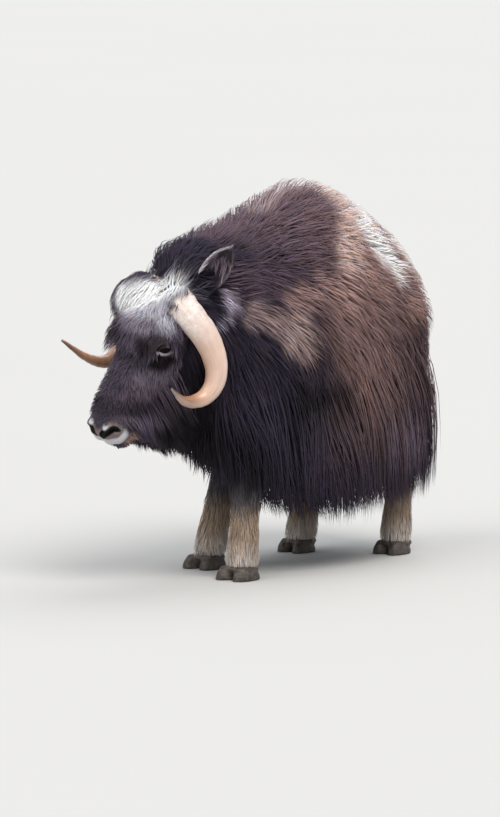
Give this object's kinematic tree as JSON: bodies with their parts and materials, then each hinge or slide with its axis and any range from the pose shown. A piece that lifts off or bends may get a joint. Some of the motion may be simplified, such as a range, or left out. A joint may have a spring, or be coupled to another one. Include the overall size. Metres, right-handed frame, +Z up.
{
  "type": "muskox",
  "caption": "Standing muskox with a long shaggy coat down to its shins, a humped shoulder, a lowered and slightly turned head and down-curved hooked horns.",
  "frame": {"origin": "on the ground, under the middle of the animal's box", "axes": "+Z up, +Y to the tail so that the muzzle points along -Y, +X to the animal's own left; the longest way is along Y and the shortest across, along X"},
  "size_m": [0.6468, 1.469, 1.2143],
  "materials": {
    "coat": "long coarse guard hair, matte with a soft sheen",
    "face": "short dense hair, matte",
    "stocking": "short pale hair, matte",
    "hoof": "worn horn, matte",
    "horn": "smooth horn, rough and speckled at the base",
    "eye": "wet and glossy"
  },
  "bodies": {
    "root": {"torso": "coat", "neck": "coat", "head": "face", "tail": "coat", "leg_front_left": "stocking", "leg_front_right": "stocking", "leg_hind_left": "stocking", "leg_hind_right": "stocking", "hoof_front_left": "hoof", "hoof_front_right": "hoof", "hoof_hind_left": "hoof", "hoof_hind_right": "hoof", "horn_left": "horn", "horn_right": "horn", "ear_left": "face", "ear_right": "face", "eye_left": "eye", "eye_right": "eye"}
  },
  "joints": []
}
